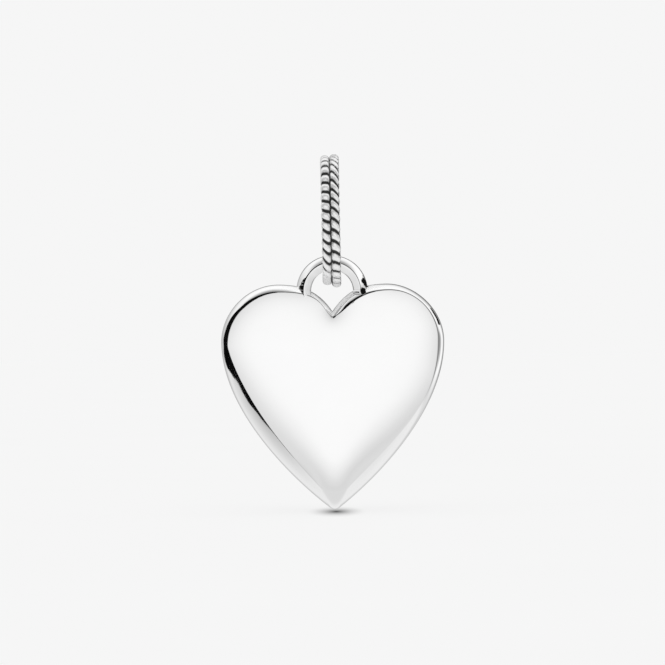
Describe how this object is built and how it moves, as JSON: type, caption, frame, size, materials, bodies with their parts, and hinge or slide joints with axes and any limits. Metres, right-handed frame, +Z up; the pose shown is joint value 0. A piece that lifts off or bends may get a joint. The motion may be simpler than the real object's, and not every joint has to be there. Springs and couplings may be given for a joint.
{
  "type": "heart tag pendant",
  "caption": "Polished silver heart tag with a domed face and a loop over its notch, hanging from a closed ring bail with two rows of rope pattern.",
  "frame": {"origin": "inside top of the ring, where the chain that it hangs on bears", "axes": "+Z up, +Y from the heart's front to its back, +X to the right as seen from the front, along the ring's axis"},
  "size_m": [0.016, 0.0096, 0.0255],
  "materials": {
    "polished_silver": "mirror polish",
    "oxidised_silver": "polished crests, darkened grooves"
  },
  "bodies": {
    "bail": {"bail_ring": "oxidised_silver"},
    "heart": {"heart_tag": "polished_silver"}
  },
  "joints": [
    {"name": "heart_swing", "type": "hinge", "parent": "bail", "child": "heart", "pos_m": [0, 0, -0.00655], "axis": [1, 0, 0], "range_deg": [-70, 70]}
  ]
}
